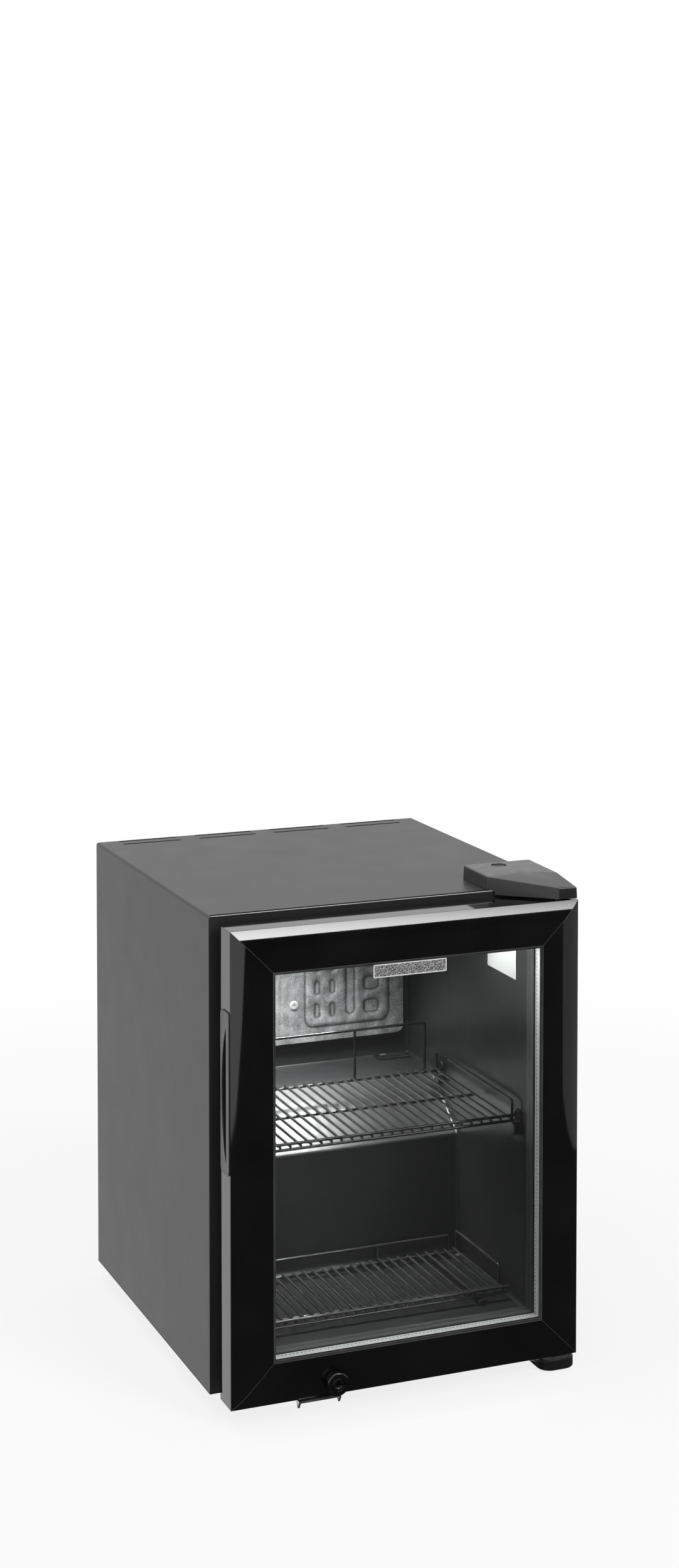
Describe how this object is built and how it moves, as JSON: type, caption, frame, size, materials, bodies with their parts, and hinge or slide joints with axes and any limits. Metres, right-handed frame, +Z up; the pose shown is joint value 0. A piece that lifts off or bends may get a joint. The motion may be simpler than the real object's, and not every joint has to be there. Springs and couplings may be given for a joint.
{
  "type": "countertop beverage cooler",
  "caption": "Small foamed steel cabinet cooled by a compressor behind a step inside, with wire shelves and a hinged glass door in a mitred gloss frame.",
  "frame": {"origin": "centre of the bounding box on the plane that the feet stand on", "axes": "+Z up, the door faces -Y, +X towards the hinge side"},
  "size_m": [0.38, 0.44, 0.5],
  "materials": {
    "cabinet_paint": "satin",
    "foam": "matte",
    "galvanised_sheet": "dull",
    "liner_plastic": "gloss",
    "evaporator_aluminium": "bare",
    "plated_steel": "plated",
    "lamp_lens": "frosted",
    "black_plastic": "satin",
    "shelf_wire": "coated gloss",
    "compressor_enamel": "gloss",
    "copper_tube": "bare",
    "rubber": "matte",
    "gloss_frame": "gloss",
    "door_glass": "clear",
    "nickel": "plated"
  },
  "bodies": {
    "cabinet": {"outer_wrap": "cabinet_paint", "base_pan": "cabinet_paint", "rear_cover": "cabinet_paint", "insulation_block": "foam", "machine_partition": "galvanised_sheet", "compressor_base": "galvanised_sheet", "thermostat_body": "galvanised_sheet", "inner_liner": "liner_plastic", "evaporator_plate": "evaporator_aluminium", "evaporator_screw": "plated_steel", "upper_hinge_bracket": "plated_steel", "lower_hinge_bracket": "plated_steel", "lock_keep": "plated_steel", "lamp_diffuser": "lamp_lens", "lamp_housing": "black_plastic", "sensor_clip": "black_plastic", "shelf_clip_front_left": "black_plastic", "shelf_clip_front_right": "black_plastic", "shelf_clip_back_left": "black_plastic", "shelf_clip_back_right": "black_plastic", "terminal_box": "black_plastic", "thermostat_cup": "black_plastic", "upper_hinge_cover": "black_plastic", "hinge_cover_plug": "black_plastic", "lower_hinge_cap": "black_plastic", "upper_shelf": "shelf_wire", "upper_shelf_back_stop": "shelf_wire", "upper_shelf_stop_left": "shelf_wire", "upper_shelf_stop_right": "shelf_wire", "lower_shelf": "shelf_wire", "lower_shelf_back_stop": "shelf_wire", "lower_shelf_stop_left": "shelf_wire", "lower_shelf_stop_right": "shelf_wire", "compressor_shell": "compressor_enamel", "condenser_coil": "copper_tube", "filter_drier": "copper_tube", "capillary_pipe": "copper_tube", "foot_front_left": "rubber", "foot_front_right": "rubber", "foot_rear_left": "rubber", "foot_rear_right": "rubber", "cord_gland": "rubber"},
    "door": {"door_rail_bottom": "gloss_frame", "door_rail_top": "gloss_frame", "door_stile_left": "gloss_frame", "door_stile_right": "gloss_frame", "front_pane": "door_glass", "rear_pane": "door_glass", "glass_spacer": "evaporator_aluminium", "glass_edge_seal": "rubber", "door_back_frame": "black_plastic", "door_gasket": "rubber", "handle_insert": "black_plastic", "upper_hinge_bush": "black_plastic", "lower_hinge_bush": "black_plastic", "lock_housing": "black_plastic"},
    "lock": {"lock_plug": "nickel", "lock_cam": "nickel"},
    "knob": {"thermostat_knob": "black_plastic"}
  },
  "joints": [
    {"name": "door_hinge", "type": "hinge", "parent": "cabinet", "child": "door", "pos_m": [0.17, -0.189, 0.018], "axis": [0, 0, 1], "range_deg": [0, 115]},
    {"name": "lock_turn", "type": "hinge", "parent": "door", "child": "lock", "pos_m": [-0.079, -0.211, 0.033], "axis": [0, -1, 0], "range_deg": [0, 90]},
    {"name": "thermostat_turn", "type": "hinge", "parent": "cabinet", "child": "knob", "pos_m": [-0.125, 0.214, 0.066], "axis": [0, 1, 0], "range_deg": [0, 270]}
  ]
}
